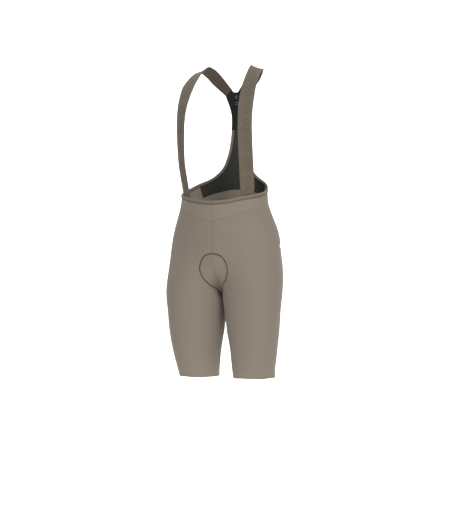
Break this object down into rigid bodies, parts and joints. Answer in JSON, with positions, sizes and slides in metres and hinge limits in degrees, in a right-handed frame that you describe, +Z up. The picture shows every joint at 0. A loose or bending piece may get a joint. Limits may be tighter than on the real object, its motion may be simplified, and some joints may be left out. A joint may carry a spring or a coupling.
{
  "type": "cycling bib shorts",
  "caption": "Close-fitting cycling bib shorts in their hollow worn form, with wide shoulder straps, a mesh back and a stitched seat pad.",
  "frame": {"origin": "midway between the wearer's shoulders, level with the tops of the straps", "axes": "+X to the wearer's left, -Y to the wearer's front, +Z up"},
  "size_m": [0.359, 0.2547, 0.9376],
  "materials": {
    "shorts": "matte warp knit",
    "waist": "matte warp knit",
    "mesh": "matte open knit",
    "black": "matte knit",
    "strap": "ribbed elastic",
    "binding": "satin folded tape",
    "pad": "brushed fleece"
  },
  "bodies": {
    "root": {"leg_left": "shorts", "leg_right": "shorts", "waist_left": "waist", "waist_right": "waist", "back_lower": "mesh", "back_upper": "black", "strap_left": "strap", "strap_right": "strap", "top_binding": "binding", "seat_pad": "pad"}
  },
  "joints": []
}
